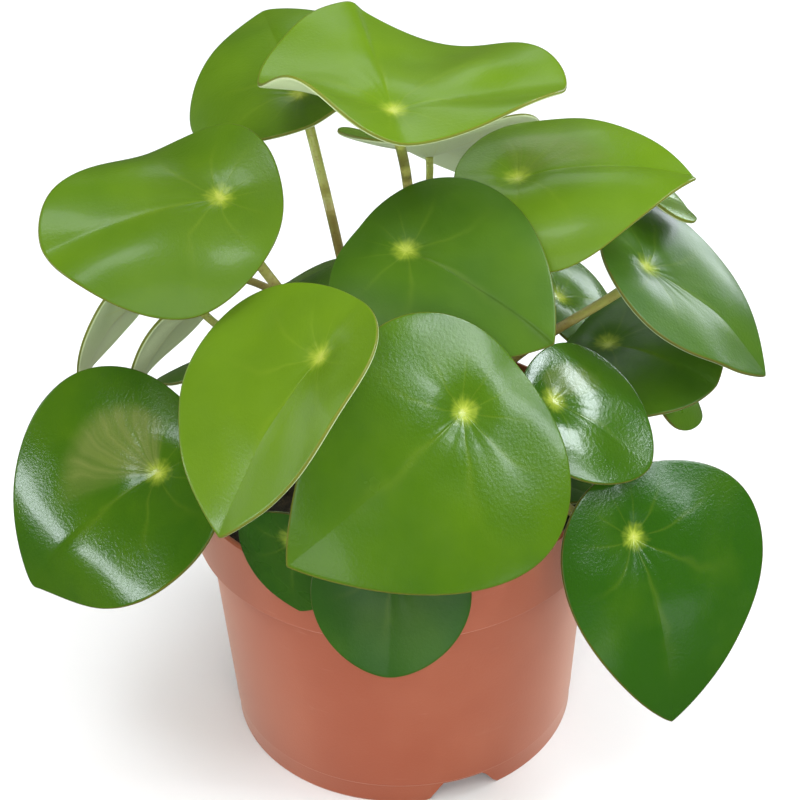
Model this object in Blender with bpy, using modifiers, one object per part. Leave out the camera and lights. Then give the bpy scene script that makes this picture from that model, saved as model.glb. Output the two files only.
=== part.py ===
"""Potted raindrop peperomia: glossy leaves on stalks, growing from soil in a plastic nursery pot.

+Z is up. The origin is on the pot's axis at floor level, the front of the plant is -Y and its
right side +X. Sizes and places are written in millimetres and scaled to metres by MM.
"""

import math
from dataclasses import dataclass

import bmesh
import bpy
from mathutils import Matrix, Vector

MM = 0.001
GAP = 0.3                     # clearance between pieces that touch

# Pot
RIM_RADIUS = 60.0
POT_HEIGHT = 88.0
WALL = 1.3
COLLAR_HEIGHT = 19.7
COLLAR_LOWER_RADIUS = 59.2
COLLAR_OVERHANG = 3.7         # how far the collar stands out over the body
LIP_ROUNDING = 0.6
BODY_FOOT_RADIUS = 51.2
FOOT_RADIUS = 50.7
FOOT_HEIGHT = 6.6
FOOT_THICKNESS = 2.0
GROOVE = 0.4                  # depth and half height of the line above the foot
FLOOR_THICKNESS = 1.6
POT_STEPS = 48

NOTCH_COUNT = 3
NOTCH_AZIMUTH = -71.0
NOTCH_WIDTH_LOW = 21.0
NOTCH_WIDTH_HIGH = 12.5
NOTCH_HEIGHT = 6.0

POT_ROUGHNESS = 0.42

DRAIN_COUNT = 6
DRAIN_RADIUS = 3.5
DRAIN_RING_RADIUS = 34.0
DRAIN_SIDES = 16

# Soil
SOIL_LEVEL = 79.0
SOIL_RISE = 1.5               # how much higher the soil lies at the middle
STEM_HOLE_DEPTH = 13.0
SOIL_ROUGHNESS = 0.95

# Stems and stalks
STEM_RADIUS = 5.0
STEM_TOP = 89.0
STEM_TAPER = 0.85             # radius of a stem's top as a share of its foot's
STEM_SIDES = 12
STALK_RADIUS = 1.55
STALK_POINTS = 9
STALK_SPREAD = 2.2            # how far from its stem's axis a stalk starts
STALK_ROUGHNESS = 0.45

# Blades
BLADE_THICKNESS = 1.1
BLADE_SPOKES = 22
BLADE_RINGS = 4
SPOT_SETBACK = 0.25           # share of a blade's length that lies behind its stalk
KEEL_ANGLE = 6.0              # how much both halves rise from the midrib
BEND_POWER = 1.4
BEND_SAMPLES = 8
LIFT_BREADTH = 60             # degrees to each side over which a lifted edge fades out
DIMPLE_DEPTH = 1.5
DIMPLE_RADIUS = 6.0
BLADE_ROUGHNESS = 0.3

FRESH_GREEN = (0.16, 0.31, 0.04)
MATURE_GREEN = (0.06, 0.17, 0.025)
STALK_COLOUR = (0.28, 0.20, 0.07)
POT_COLOUR = (0.46, 0.13, 0.065)
SOIL_COLOUR = (0.025, 0.016, 0.011)

SMOOTH_UP_TO = 40             # degrees between faces that are shaded as one
WELD = 0.00001                # metres between points that are one


@dataclass
class Leaf:
    """A blade and where its stalk holds it. Lengths are in mm and angles in degrees."""

    name: str
    stem: str                 # the stem that its stalk grows from
    spot: tuple               # where the stalk meets the blade
    length: float
    width: float
    heading: float            # the way the tip points, from +X towards +Y
    pitch: float              # rise of the midrib at the spot, towards the tip
    roll: float               # rise of the left half, seen along the midrib
    droop: tuple = (30, 10)   # how far the tip and the base end bend down
    wings: tuple = (20, 20)   # how far the left and right edges bend down
    skew: float = 0           # share by which the left half is wider
    point: float = 0.8        # how far the tip is drawn out, 0 for an oval blade
    lifts: tuple = ()         # (place round the edge, from the tip leftwards, and height) each
    rise: float = 0.45        # how straight up the stalk starts, as a share of its reach
    arrive: float = 0.28      # how straight it meets the blade, likewise
    sway: tuple = (0, 0, 0)   # how far the stalk's middle is moved
    green: tuple = FRESH_GREEN


STEMS = {
    "left": (-15, 5),
    "middle": (1, -9),
    "right": (16, 5),
    "back": (-6, 22),
}

LEAVES = (
    # Top and back, on long stalks
    Leaf("leaf_top", "back", (2, 0, 198), 70, 84, 100, 5, 5,
         droop=(0, 5), wings=(10, -15), skew=-0.2, point=0.4,
         lifts=((15, 3), (-45, -11), (-118, -14), (-150, 13), (180, -12), (145, 14), (85, -3)),
         sway=(8, 15, -6)),
    Leaf("leaf_back_left_high", "back", (-24, 32, 188), 68, 64, 105, 8, -20,
         droop=(15, 0), wings=(25, 25), lifts=((-70, -5),), sway=(-1, -2, -12)),
    Leaf("leaf_back_high", "back", (12, 61, 154), 40, 68, 55, -20, -15,
         droop=(50, -40), wings=(-15, -5), lifts=((-130, 5),)),
    # Left side
    Leaf("leaf_left_high", "left", (-44, -8, 178), 64, 60, 195, -5, -20,
         droop=(20, 10), wings=(40, 45), point=0.3,
         lifts=((80, -6), (-35, 5), (-90, -3), (-150, 6)), sway=(10, -15, 0)),
    Leaf("leaf_left_low", "left", (-65, -30, 106), 71, 71, 200, -25, -25,
         droop=(50, 10), wings=(15, 10), skew=-0.13, point=0.6, lifts=((45, -6), (130, 3)),
         green=MATURE_GREEN),
    Leaf("leaf_left_outer", "back", (-76, 28, 126), 38, 42, 215, -40, 50,
         droop=(15, 15), wings=(5, 25), sway=(-10, 5, 20)),
    Leaf("leaf_left_inner", "left", (-56, 13, 133), 44, 36, 200, -40, 40,
         droop=(25, 5), wings=(10, 35)),
    # Front
    Leaf("leaf_front_left", "left", (-19, -52, 156), 70, 57, 220, -40, 5,
         droop=(20, 10), wings=(30, 0), skew=-0.2, point=0.65,
         lifts=((105, 6), (-65, 4)),
         arrive=0.06, sway=(-15, 0, 0)),
    Leaf("leaf_front", "middle", (18, -51, 137), 82, 74, 225, -15, -50,
         droop=(30, 5), wings=(15, 20), skew=0.15),
    Leaf("leaf_front_small", "middle", (-2, -69, 103), 40, 42, 262, -58, 0,
         droop=(5, 5), wings=(20, 15), point=0.2, rise=0.5, arrive=0.06, green=MATURE_GREEN),
    Leaf("leaf_front_left_small", "middle", (-28, -58, 102), 32, 36, 250, -85, 10,
         droop=(15, 10), wings=(25, 25), rise=0.5, arrive=0.06, green=MATURE_GREEN),
    # Middle
    Leaf("leaf_centre", "middle", (4, -9, 161), 64, 62, -35, -10, 20,
         droop=(30, 15), wings=(25, 30), lifts=((-45, -4),), green=MATURE_GREEN),
    Leaf("leaf_young_left", "left", (-22, 8, 137), 34, 30, 165, -30, -5),
    Leaf("leaf_young_right", "right", (38, -20, 94), 26, 22, -25, -5, 0,
         droop=(15, 10), green=MATURE_GREEN),
    # Right side
    Leaf("leaf_right_high", "right", (35, 19, 167), 66, 62, -5, 10, 10,
         droop=(30, 15), wings=(35, 55), skew=-0.1, lifts=((-45, 3), (-165, 4))),
    Leaf("leaf_right", "right", (72, 14, 140), 66, 62, -10, -35, 5,
         droop=(25, 5), wings=(20, 10), skew=0.12, green=MATURE_GREEN),
    Leaf("leaf_right_low", "right", (62, 24, 109), 48, 62, -35, 5, 10,
         droop=(20, 20), wings=(25, 20), point=0.4, lifts=((-120, 3), (-30, -4)),
         rise=0.25, arrive=0.35, green=MATURE_GREEN),
    Leaf("leaf_right_round", "right", (43, -26, 123), 44, 43, -10, -35, 20,
         droop=(5, 10), wings=(25, 20), skew=0.1, point=0.3, green=MATURE_GREEN),
    Leaf("leaf_front_right", "right", (64, -42, 88), 74, 67, -60, -55, -5,
         droop=(30, 5), wings=(5, 20), skew=0.2,
         rise=0.75, arrive=0.06, sway=(-5, -10, 0), green=MATURE_GREEN),
    Leaf("leaf_right_upper", "right", (75, 34, 153), 26, 28, 35, -30, 15,
         droop=(25, 5), wings=(25, 15), rise=0.5, arrive=0.03, sway=(0, 5, 10)),
    Leaf("leaf_right_back", "right", (80, 30, 92), 40, 34, 40, -30, 40,
         droop=(45, 5), wings=(15, 35), rise=0.3, arrive=0.12, sway=(0, 0, 2),
         green=MATURE_GREEN),
    # Back, low
    Leaf("leaf_back_right", "right", (51, 54, 107), 52, 48, 30, -25, 20,
         droop=(40, 15), wings=(20, 30), green=MATURE_GREEN),
    Leaf("leaf_back_left", "back", (-21, 42, 119), 44, 40, 115, -15, -15,
         droop=(25, 5), wings=(15, 30)),
    Leaf("leaf_back_left_low", "back", (-48, 46, 96), 50, 46, 135, -25, 0,
         droop=(35, 10), rise=0.6, arrive=0.1, green=MATURE_GREEN),
    Leaf("leaf_back_low", "back", (10, 52, 98), 52, 52, 90, -20, 5,
         droop=(35, 10), green=MATURE_GREEN),
)


def mm(x, y, z):
    """A place given in millimetres."""
    return Vector((x, y, z)) * MM


def add_collection(name):
    """A new collection in the scene."""
    made = bpy.data.collections.new(name)
    bpy.context.scene.collection.children.link(made)
    return made


def add_object(name, mesh, home):
    """An object of the mesh, in the collection `home`."""
    made = bpy.data.objects.new(name, mesh)
    home.objects.link(made)
    return made


def paint(piece, colour, roughness):
    """Give the piece a material of its own."""
    made = bpy.data.materials.new(piece.name)
    made.use_nodes = True
    shader = made.node_tree.nodes["Principled BSDF"]
    shader.inputs["Base Color"].default_value = (*colour, 1)
    shader.inputs["Roughness"].default_value = roughness
    shader.inputs["Metallic"].default_value = 0
    piece.data.materials.clear()
    piece.data.materials.append(made)
    piece.data.shade_smooth()
    piece.data.set_sharp_from_angle(angle=math.radians(SMOOTH_UP_TO))


def mesh_from(bm, name):
    """Turn a bmesh into a mesh and free it."""
    mesh = bpy.data.meshes.new(name)
    bm.to_mesh(mesh)
    bm.free()
    return mesh


def turned(name, profile, home):
    """A profile of (radius, height) pairs turned about the pot's axis."""
    mesh = bpy.data.meshes.new(name)
    edges = [(i, i + 1) for i in range(len(profile) - 1)]
    mesh.from_pydata([mm(radius, 0, height) for radius, height in profile], edges, [])
    made = add_object(name, mesh, home)
    screw = made.modifiers.new("Turn", "SCREW")
    screw.steps = POT_STEPS
    screw.render_steps = POT_STEPS
    screw.use_merge_vertices = True
    screw.merge_threshold = WELD
    return made


def upright(radius_low, radius_high, low, high, sides):
    """A bmesh of a cylinder or a cone on +Z, between two heights."""
    bm = bmesh.new()
    bmesh.ops.create_cone(bm, cap_ends=True, segments=sides, radius1=radius_low * MM,
                          radius2=radius_high * MM, depth=(high - low) * MM)
    bmesh.ops.translate(bm, verts=bm.verts, vec=mm(0, 0, (low + high) / 2))
    return bm


def add_cutter(name, mesh, home):
    """A hidden object that only cuts."""
    cutter = add_object(name, mesh, home)
    cutter.display_type = "WIRE"
    cutter.hide_render = True
    return cutter


def cut(piece, cutters):
    """Cut every object of a collection out of the piece."""
    boolean = piece.modifiers.new("Cut", "BOOLEAN")
    boolean.operation = "DIFFERENCE"
    boolean.operand_type = "COLLECTION"
    boolean.collection = cutters
    boolean.solver = "EXACT"


def body_radius(height):
    """Outer radius of the tapering body below the collar."""
    share = (height - FOOT_HEIGHT) / (POT_HEIGHT - COLLAR_HEIGHT - FOOT_HEIGHT)
    return BODY_FOOT_RADIUS + share * (COLLAR_LOWER_RADIUS - COLLAR_OVERHANG - BODY_FOOT_RADIUS)


def pot_inner_wall(clearance):
    """The inside of the pot from the rim down to the floor, `clearance` clear of the wall."""
    step = POT_HEIGHT - COLLAR_HEIGHT
    inset = WALL + clearance
    floor = FOOT_HEIGHT + FLOOR_THICKNESS + clearance
    return [
        (RIM_RADIUS - inset, POT_HEIGHT),
        (COLLAR_LOWER_RADIUS - inset, step + WALL + clearance),
        (body_radius(step) - inset, step - WALL + clearance),
        (body_radius(floor) - inset, floor + 1),
        (body_radius(floor) - inset - 1, floor),
        (0, floor),
    ]


def pot_profile():
    """The pot's section: up the inside from the axis, over the lip and down the outside."""
    step = POT_HEIGHT - COLLAR_HEIGHT
    inside = pot_inner_wall(0)[::-1]
    outside = [
        (RIM_RADIUS - LIP_ROUNDING, POT_HEIGHT),
        (RIM_RADIUS, POT_HEIGHT - LIP_ROUNDING),
        (COLLAR_LOWER_RADIUS, step),
        (COLLAR_LOWER_RADIUS - LIP_ROUNDING, step - LIP_ROUNDING),
        (body_radius(step), step - LIP_ROUNDING),
        (BODY_FOOT_RADIUS, FOOT_HEIGHT + GROOVE),
        (BODY_FOOT_RADIUS - GROOVE, FOOT_HEIGHT),
        (FOOT_RADIUS, FOOT_HEIGHT - GROOVE),
        (FOOT_RADIUS, LIP_ROUNDING),
        (FOOT_RADIUS - LIP_ROUNDING / 2, 0),
        (FOOT_RADIUS - FOOT_THICKNESS, 0),
        (FOOT_RADIUS - FOOT_THICKNESS, FOOT_HEIGHT),
        (0, FOOT_HEIGHT),
    ]
    return inside + outside


def notch_mesh(azimuth):
    """A block, narrower at its top, that cuts one notch through the foot ring."""
    below = 1.0
    slant = (NOTCH_WIDTH_LOW - NOTCH_WIDTH_HIGH) / NOTCH_HEIGHT
    bm = bmesh.new()
    bmesh.ops.create_cube(bm, size=1)
    for vert in bm.verts:
        height = NOTCH_HEIGHT if vert.co.z > 0 else -below
        width = NOTCH_WIDTH_LOW - slant * height
        radius = FOOT_RADIUS + vert.co.x * 4 * FOOT_THICKNESS
        vert.co = mm(radius, math.copysign(width / 2, vert.co.y), height)
    turn = math.radians(azimuth)
    for vert in bm.verts:
        x, y, z = vert.co
        vert.co = (x * math.cos(turn) - y * math.sin(turn), x * math.sin(turn) + y * math.cos(turn), z)
    return mesh_from(bm, "notch")


def build_pot(home):
    """The thin-walled pot with its foot notches and drainage holes."""
    pot = turned("pot", pot_profile(), home)
    cutters = add_collection("pot cutters")
    for i in range(NOTCH_COUNT):
        azimuth = NOTCH_AZIMUTH + 360 / NOTCH_COUNT * i
        add_cutter(f"notch {i}", notch_mesh(azimuth), cutters)
    for i in range(DRAIN_COUNT):
        azimuth = math.tau * i / DRAIN_COUNT
        bm = upright(DRAIN_RADIUS, DRAIN_RADIUS, FOOT_HEIGHT - 2, FOOT_HEIGHT + 4, DRAIN_SIDES)
        place = mm(math.cos(azimuth), math.sin(azimuth), 0) * DRAIN_RING_RADIUS
        bmesh.ops.translate(bm, verts=bm.verts, vec=place)
        add_cutter(f"drain {i}", mesh_from(bm, "drain"), cutters)
    cut(pot, cutters)
    paint(pot, POT_COLOUR, POT_ROUGHNESS)


def build_soil(home):
    """The soil, with a plain hole for each stem."""
    wall = [point for point in pot_inner_wall(GAP) if point[1] < SOIL_LEVEL]
    taper = (RIM_RADIUS - COLLAR_LOWER_RADIUS) / COLLAR_HEIGHT
    edge = RIM_RADIUS - taper * (POT_HEIGHT - SOIL_LEVEL) - WALL - GAP
    top = [
        (0, SOIL_LEVEL + SOIL_RISE),
        (edge / 2, SOIL_LEVEL + SOIL_RISE * 0.7),
        (edge, SOIL_LEVEL),
    ]
    soil = turned("soil", top + wall, home)
    cutters = add_collection("soil cutters")
    for name, place in STEMS.items():
        bm = upright(STEM_RADIUS + GAP, STEM_RADIUS + GAP, SOIL_LEVEL - STEM_HOLE_DEPTH,
                     SOIL_LEVEL + 3 * SOIL_RISE, STEM_SIDES)
        bmesh.ops.translate(bm, verts=bm.verts, vec=mm(*place, 0))
        add_cutter(f"stem hole {name}", mesh_from(bm, "stem hole"), cutters)
    cut(soil, cutters)
    paint(soil, SOIL_COLOUR, SOIL_ROUGHNESS)


def blade_frame(leaf):
    """Unit vectors towards the tip, towards the left edge and out of the upper face."""
    heading, pitch, roll = (math.radians(a) for a in (leaf.heading, leaf.pitch, leaf.roll))
    ahead = Vector((math.cos(heading) * math.cos(pitch), math.sin(heading) * math.cos(pitch),
                    math.sin(pitch)))
    level = Vector((-math.sin(heading), math.cos(heading), 0))
    upright_normal = ahead.cross(level)
    left = level * math.cos(roll) + upright_normal * math.sin(roll)
    return ahead, left, ahead.cross(left)


def teardrop_peak(point):
    """The greatest value of sin(t) * sin(t/2) ** point."""
    cosine = 1 / math.sqrt(2 + point)
    sine = math.sqrt(1 - cosine ** 2)
    return 2 * cosine * sine ** (1 + point)


def blade_outline(leaf, turn):
    """How far the edge lies along and across the midrib, `turn` round from the tip."""
    along = leaf.length * ((math.cos(turn) + 1) / 2 - SPOT_SETBACK)
    across = math.sin(turn) * abs(math.sin(turn / 2)) ** leaf.point / teardrop_peak(leaf.point)
    across *= leaf.width / 2
    side = 1 + leaf.skew if across > 0 else 1 - leaf.skew
    return along, across * side


def bend(distance, length, total):
    """Run, drop and slope after `distance` along a strip that curves down by `total`."""
    run = 0.0
    drop = 0.0
    for sample in range(BEND_SAMPLES):
        share = distance * (sample + 0.5) / BEND_SAMPLES / length
        run += math.cos(total * share ** BEND_POWER)
        drop += math.sin(total * share ** BEND_POWER)
    step = distance / BEND_SAMPLES
    return run * step, drop * step, total * (distance / length) ** BEND_POWER


def edge_share(away):
    """How much of a lift is felt at an angle `away` from its middle: 1 there, fading to 0."""
    share = math.remainder(away, math.tau) / math.radians(LIFT_BREADTH)
    return math.cos(share * math.pi / 2) ** 2 if abs(share) < 1 else 0.0


def blade_point(leaf, reach, turn):
    """A point of the upper face: `reach` is 0 at the stalk and 1 at the edge."""
    along, across = (reach * part for part in blade_outline(leaf, turn))
    keel = math.radians(KEEL_ANGLE)
    wing = leaf.wings[0] if across > 0 else leaf.wings[1]
    run, drop = bend(abs(across), leaf.width / 2, math.radians(wing))[:2]
    side = math.copysign(run * math.cos(keel) + drop * math.sin(keel), across)
    lift = run * math.sin(keel) - drop * math.cos(keel)
    for place, height in leaf.lifts:
        lift += reach ** 2 * height * edge_share(turn - math.radians(place))

    tipwards = along >= 0
    strip = leaf.length * (1 - SPOT_SETBACK if tipwards else SPOT_SETBACK)
    droop = leaf.droop[0] if tipwards else leaf.droop[1]
    run, drop, slope = bend(abs(along), strip, math.radians(droop))
    forward = math.copysign(run + lift * math.sin(slope), along)
    height = lift * math.cos(slope) - drop
    height -= DIMPLE_DEPTH * math.exp(-(math.hypot(along, across) / DIMPLE_RADIUS) ** 2)

    ahead, left, normal = blade_frame(leaf)
    return Vector(leaf.spot) + ahead * forward + left * side + normal * height


def disc(spokes, rings):
    """A flat disc of radius 1 in triangles, with a point of its edge on +X."""
    bm = bmesh.new()
    bmesh.ops.create_circle(bm, cap_ends=True, cap_tris=True, segments=spokes, radius=1 / rings,
                            matrix=Matrix.Rotation(-math.pi / 2, 4, "Z"))
    for ring in range(1, rings):
        border = [edge for edge in bm.edges if edge.is_boundary]
        grown = bmesh.ops.extrude_edge_only(bm, edges=border)["geom"]
        outer = [item for item in grown if isinstance(item, bmesh.types.BMVert)]
        bmesh.ops.scale(bm, verts=outer, vec=Vector((1, 1, 1)) * (ring + 1) / ring)
    bmesh.ops.triangulate(bm, faces=bm.faces)
    downward = [face for face in bm.faces if face.normal.z < 0]
    bmesh.ops.reverse_faces(bm, faces=downward)
    return bm


def build_blade(leaf, home):
    """A leaf blade: its upper face, thickened downwards."""
    bm = disc(BLADE_SPOKES, BLADE_RINGS)
    bm.normal_update()
    for vert in bm.verts:
        reach = math.hypot(vert.co.x, vert.co.y)
        turn = math.atan2(vert.co.y, vert.co.x)
        vert.co = blade_point(leaf, reach, turn) * MM
    blade = add_object(leaf.name, mesh_from(bm, leaf.name), home)
    solid = blade.modifiers.new("Thickness", "SOLIDIFY")
    solid.thickness = BLADE_THICKNESS * MM
    solid.offset = -1
    solid.use_even_offset = True
    solid.use_quality_normals = True
    paint(blade, leaf.green, BLADE_ROUGHNESS)


def stalk_route(leaf):
    """Points from the leaf's stem up to the underside of its blade."""
    normal = blade_frame(leaf)[2]
    tip = Vector(leaf.spot) - normal * (DIMPLE_DEPTH + BLADE_THICKNESS + GAP)
    end = tip - normal * STALK_RADIUS
    axis = Vector((*STEMS[leaf.stem], STEM_TOP))
    outward = Vector((end.x - axis.x, end.y - axis.y, 0)).normalized()
    start = axis + outward * STALK_SPREAD - Vector((0, 0, STEM_RADIUS))
    span = (end - start).length
    lower = start + Vector((0, 0, 1)) * span * leaf.rise
    upper = end - normal * span * leaf.arrive
    sway = Vector(leaf.sway)
    route = []
    for i in range(STALK_POINTS):
        t = i / (STALK_POINTS - 1)
        s = 1 - t
        curve = start * s ** 3 + lower * 3 * s * s * t + upper * 3 * s * t * t + end * t ** 3
        route.append(curve + sway * 4 * s * t)
    return route + [tip]


def stalk_mesh(leaf):
    """A tube along the stalk's route, as a closed mesh."""
    curve = bpy.data.curves.new("stalk", "CURVE")
    curve.dimensions = "3D"
    curve.bevel_depth = STALK_RADIUS * MM
    curve.bevel_resolution = 1
    curve.use_fill_caps = True
    route = stalk_route(leaf)
    spline = curve.splines.new("POLY")
    spline.points.add(len(route) - 1)
    for point, place in zip(spline.points, route):
        point.co = (*(place * MM), 1)
    guide = add_object("stalk guide", curve, bpy.context.scene.collection)
    graph = bpy.context.evaluated_depsgraph_get()
    mesh = bpy.data.meshes.new_from_object(guide.evaluated_get(graph))
    bpy.data.objects.remove(guide)
    bm = bmesh.new()
    bm.from_mesh(mesh)
    bmesh.ops.remove_doubles(bm, verts=bm.verts, dist=WELD)
    bm.to_mesh(mesh)
    bm.free()
    return mesh


def build_stem(name, home):
    """A short thick stem with all its leaf stalks, joined into one body."""
    foot = SOIL_LEVEL - STEM_HOLE_DEPTH + GAP
    bm = upright(STEM_RADIUS, STEM_RADIUS * STEM_TAPER, foot, STEM_TOP, STEM_SIDES)
    bmesh.ops.translate(bm, verts=bm.verts, vec=mm(*STEMS[name], 0))
    core = add_object(f"stem core {name}", mesh_from(bm, "stem core"), home)
    stalks = add_collection(f"stalks {name}")
    for leaf in LEAVES:
        if leaf.stem == name:
            add_object(f"stalk {leaf.name}", stalk_mesh(leaf), stalks)
    union = core.modifiers.new("Join", "BOOLEAN")
    union.operation = "UNION"
    union.operand_type = "COLLECTION"
    union.collection = stalks
    union.solver = "EXACT"
    graph = bpy.context.evaluated_depsgraph_get()
    mesh = bpy.data.meshes.new_from_object(core.evaluated_get(graph))
    for stalk in list(stalks.objects):
        bpy.data.objects.remove(stalk)
    bpy.data.collections.remove(stalks)
    bpy.data.objects.remove(core)
    stem = add_object(f"stem_{name}", mesh, home)
    paint(stem, STALK_COLOUR, STALK_ROUGHNESS)


def main():
    """Clear the scene and build the plant in its pot."""
    for old in list(bpy.data.objects):
        bpy.data.objects.remove(old)
    plant = add_collection("potted peperomia")
    build_pot(plant)
    build_soil(plant)
    for name in STEMS:
        build_stem(name, plant)
    for leaf in LEAVES:
        build_blade(leaf, plant)


main()
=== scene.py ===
"""A potted raindrop peperomia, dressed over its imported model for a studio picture.

Lengths in the settings are millimetres and angles degrees. The front of the plant is -Y.
"""

import math
import random
from dataclasses import dataclass

import bmesh
import bpy
from mathutils import Matrix, Vector, noise


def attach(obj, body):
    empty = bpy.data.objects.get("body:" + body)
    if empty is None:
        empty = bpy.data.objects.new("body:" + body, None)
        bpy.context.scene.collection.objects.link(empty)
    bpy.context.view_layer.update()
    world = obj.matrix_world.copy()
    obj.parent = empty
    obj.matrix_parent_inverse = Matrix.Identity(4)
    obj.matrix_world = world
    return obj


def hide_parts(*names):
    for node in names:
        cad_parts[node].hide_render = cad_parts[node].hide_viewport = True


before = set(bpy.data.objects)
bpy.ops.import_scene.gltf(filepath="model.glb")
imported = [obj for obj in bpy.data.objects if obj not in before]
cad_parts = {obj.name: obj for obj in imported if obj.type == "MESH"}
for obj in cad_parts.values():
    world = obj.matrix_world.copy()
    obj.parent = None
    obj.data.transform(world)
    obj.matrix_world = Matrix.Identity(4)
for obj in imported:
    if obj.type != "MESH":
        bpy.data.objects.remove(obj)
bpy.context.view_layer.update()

MM = 0.001
GAP = 0.3                     # clearance between pieces that touch
HAIR = 0.01                   # heights closer than this count as the same

# Camera, found by matching the pot and the leaves with the photograph
CAMERA_TARGET = (1.3, 0, 106.5)
CAMERA_DISTANCE = 600
CAMERA_ELEVATION = 34
CAMERA_ROLL = -1.74
CAMERA_LENS = 95.85
SENSOR_WIDTH = 36

# Pot
RIM_RADIUS = 60.0
POT_HEIGHT = 88.0
WALL = 1.3
COLLAR_HEIGHT = 19.7
COLLAR_LOWER_RADIUS = 59.2
COLLAR_OVERHANG = 3.7
LIP_ROUNDING = 0.6
BODY_FOOT_RADIUS = 51.2
FOOT_RADIUS = 50.7
FOOT_HEIGHT = 6.6
FOOT_THICKNESS = 2.0
GROOVE = 0.4
FLOOR_THICKNESS = 1.6
FLOOR_FILLET = 1.0            # how far the wall's inside is drawn in at the floor
POT_STEPS = 240
NOTCH_COUNT = 3
NOTCH_AZIMUTH = -71
NOTCH_WIDTH_LOW = 21.0
NOTCH_WIDTH_HIGH = 12.5
NOTCH_HEIGHT = 6.0
DRAIN_COUNT = 6
DRAIN_RADIUS = 3.5
DRAIN_RING_RADIUS = 34.0
DRAIN_SIDES = 24
EDGE_SOFTNESS = 0.25
EDGE_SEGMENTS = 2
SOFTENED_ANGLE = 25           # edges that bend more than this are rounded
SHARP_ANGLE = 40              # and those that bend more than this are shaded sharp

# Soil
SOIL_LEVEL = 79.0
SOIL_RISE = 1.5
SOIL_SPOKES = 180
SOIL_RINGS = 44
LUMP_HEIGHT = 1.2
LUMP_LENGTH = 9.0
CRUMB_HEIGHT = 0.7
CRUMB_LENGTH = 3.0
CRUMB_SLICE = 7.0             # the height at which the crumbs' noise is cut
CRUMB_FADING = 0.8            # how fast the noise weakens from one octave to the next
CRUMB_OCTAVES = 3
OCTAVE_RATIO = 2.0
CLOD_COUNT = 260
CLOD_SIZES = (0.5, 1.7)
CLOD_REACH = 0.96
CLOD_ROUGHNESS = 0.9
CLOD_SEED = 5

# Stems and stalks
STEM_RADIUS = 5.0
STEM_TAPER = 0.8
STEM_TOP = 89.0
STEM_FOOT = 66.5
STEM_STEPS = 24
STEM_SIDES = 32
STEM_RINGS = 4
STEM_RING_DEPTH = 0.25
STEM_END = 0.6                # the narrowing of the last ring, which rounds the end
STEM_COLOURING = 0.1          # how much of the stalks' colour change the stem shows
STALK_RADIUS = 1.55
STALK_STEPS = 40
STALK_SIDES = 16
STALK_SPREAD = 2.2
STALK_SLIMNESS = 0.9          # thickness between the ends, as a share
STALK_FOOT_SWELL = 0.12       # what the stem's end adds to it, and how fast that fades
STALK_FOOT_FADING = 4
STALK_TIP_SWELL = 0.1         # the same for the blade's end
STALK_TIP_FADING = 12

# Blades
BLADE_THICKNESS = 1.1
BLADE_SPOKES = 72
BLADE_RINGS = 14
MARGIN_RING = 0.985
SPOT_SETBACK = 0.25
KEEL_ANGLE = 6.0
BEND_POWER = 1.4
BEND_SAMPLES = 8
LIFT_BREADTH = 60
DIMPLE_DEPTH = 1.5
DIMPLE_RADIUS = 6.0
RIPPLE_HEIGHT = 0.9           # soft unevenness of the blade's surface
RIPPLE_LENGTH = 17.0
RIPPLE_ONSET = 3              # how fast it sets in, outwards from the spot
PLEAT_HEIGHT = 0.15           # fine pleats that run out from the spot
PLEAT_COUNT = 26
PLEAT_ONSET = 6
PLEAT_FADING = 1.3            # how fast they fade towards the edge
SEED_STEP = 10                # how far apart the blades' places in the noise lie
PLAN_UNIT = 10                # a blade's plan is kept in centimetres

WHITE = (1, 1, 1, 1)
WINDOW_LIGHT = (0.86, 0.94, 1.0)
WARM_WHITE = (1.0, 0.98, 0.95)
LIGHT_DISTANCE = 1000
WORLD_LIGHT = 0.35
WORLD_GLOSS = 0.08            # how bright the surroundings are where they are mirrored
FLOOR_REACH = 4000            # from the floor's middle to its sides
FLOOR_COLOUR = (0.93, 0.93, 0.93, 1)
FLOOR_ROUGHNESS = 0.9


@dataclass
class Leaf:
    """A blade and where its stalk holds it, as in the part, with how its surface looks."""

    name: str
    stem: str                 # the stem that its stalk grows from
    spot: tuple               # where the stalk meets the blade
    length: float
    width: float
    heading: float            # the way the tip points, from +X towards +Y
    pitch: float              # rise of the midrib at the spot, towards the tip
    roll: float               # rise of the left half, seen along the midrib
    droop: tuple = (30, 10)   # how far the tip and the base end bend down
    wings: tuple = (20, 20)   # how far the left and right edges bend down
    skew: float = 0           # share by which the left half is wider
    point: float = 0.8        # how far the tip is drawn out, 0 for an oval blade
    lifts: tuple = ()         # (place round the edge, from the tip leftwards, and height) each
    rise: float = 0.45        # how straight up the stalk starts, as a share of its reach
    arrive: float = 0.28      # how straight it meets the blade, likewise
    sway: tuple = (0, 0, 0)   # how far the stalk's middle is moved
    age: float = 0.2          # 0 for fresh green, 1 for deep green
    gloss: float = 0.5        # 0 for a dull face, 1 for a polished one
    blush: float = 0          # strength of an olive-brown patch beside the spot
    blush_place: float = 0    # the way the patch lies from the spot, from the tip leftwards
    stalk: float = 1          # the stalk's thickness, as a share of the thickest


@dataclass
class SoftLight:
    """A rectangular light that faces the plant."""

    name: str
    azimuth: float            # where it stands: 0 is in front and 90 at the right
    elevation: float
    width: float
    height: float
    power: float              # in watts
    colour: tuple = WINDOW_LIGHT
    glossy: bool = True       # whether the leaves and the pot mirror it


STEMS = {
    "left": (-15, 5),
    "middle": (1, -9),
    "right": (16, 5),
    "back": (-6, 22),
}

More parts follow.
